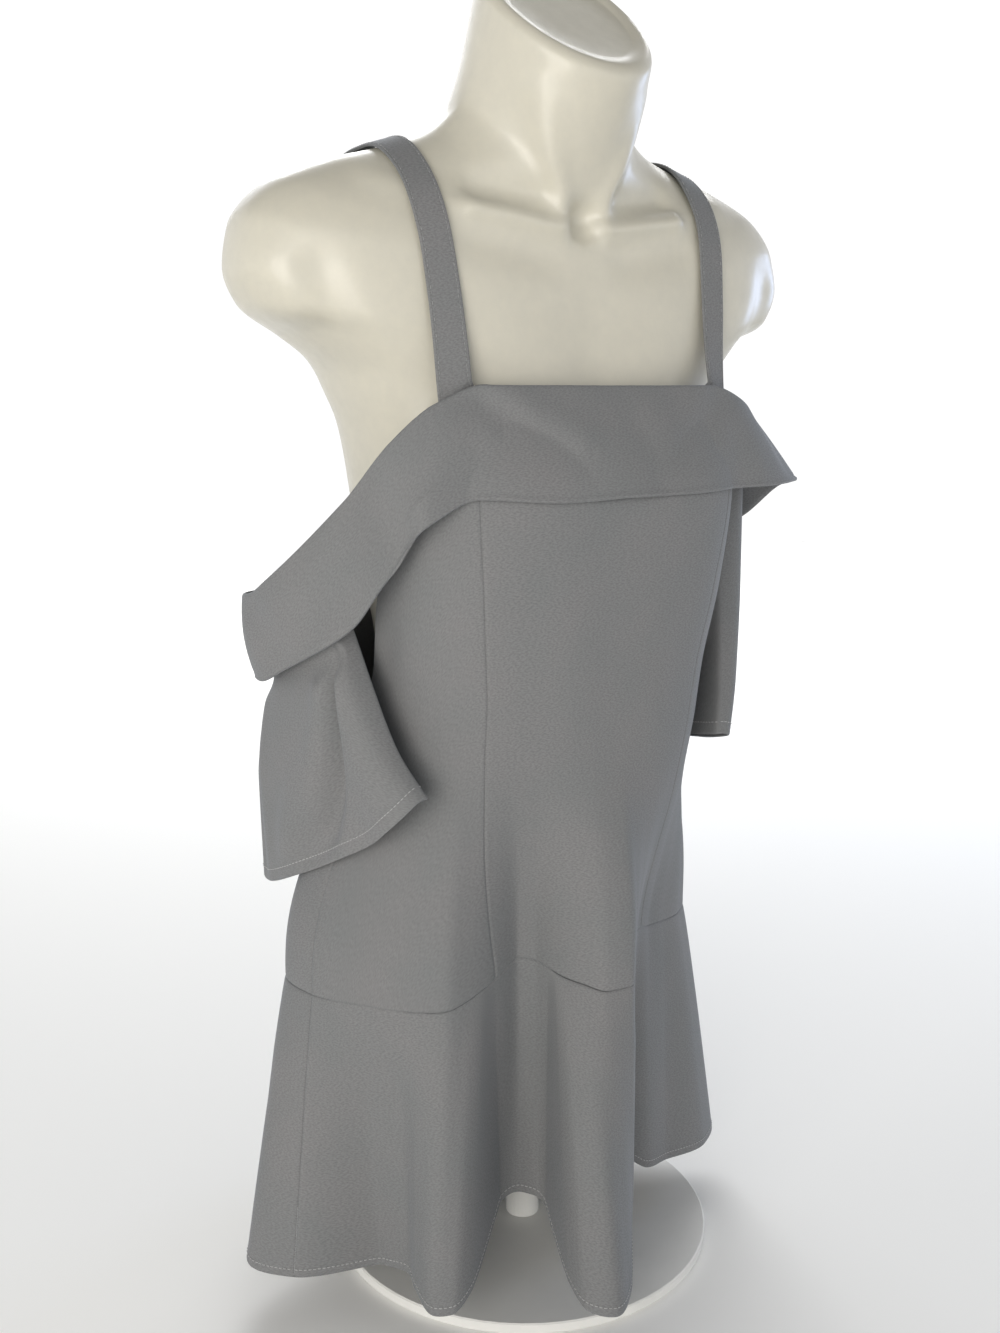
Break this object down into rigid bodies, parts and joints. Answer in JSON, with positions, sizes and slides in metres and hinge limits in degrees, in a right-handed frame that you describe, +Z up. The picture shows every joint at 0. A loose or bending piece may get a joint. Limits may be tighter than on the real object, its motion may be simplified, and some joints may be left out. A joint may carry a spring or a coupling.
{
  "type": "off-shoulder dress on limbless dress form",
  "caption": "Short off-shoulder dress with shoulder straps, fold-over band, bell sleeves and wavy flounce, worn by a limbless form on a round base",
  "frame": {"origin": "centre of the base plate's underside, on the floor under the middle of the form", "axes": "+Z up; the front of the dress faces -Y; the wearer's right side is at -X"},
  "size_m": [0.4398, 0.3383, 0.913],
  "materials": {
    "crepe": "matte",
    "form_plastic": "gloss",
    "stand_metal": "satin"
  },
  "bodies": {
    "root": {"bodice_front": "crepe", "bodice_side_right": "crepe", "bodice_side_left": "crepe", "bodice_back": "crepe", "flounce_front": "crepe", "flounce_back": "crepe", "band": "crepe", "sleeve_right": "crepe", "sleeve_left": "crepe", "strap_right": "crepe", "strap_left": "crepe", "form_torso": "form_plastic", "form_post": "stand_metal", "form_base": "stand_metal"}
  },
  "joints": []
}
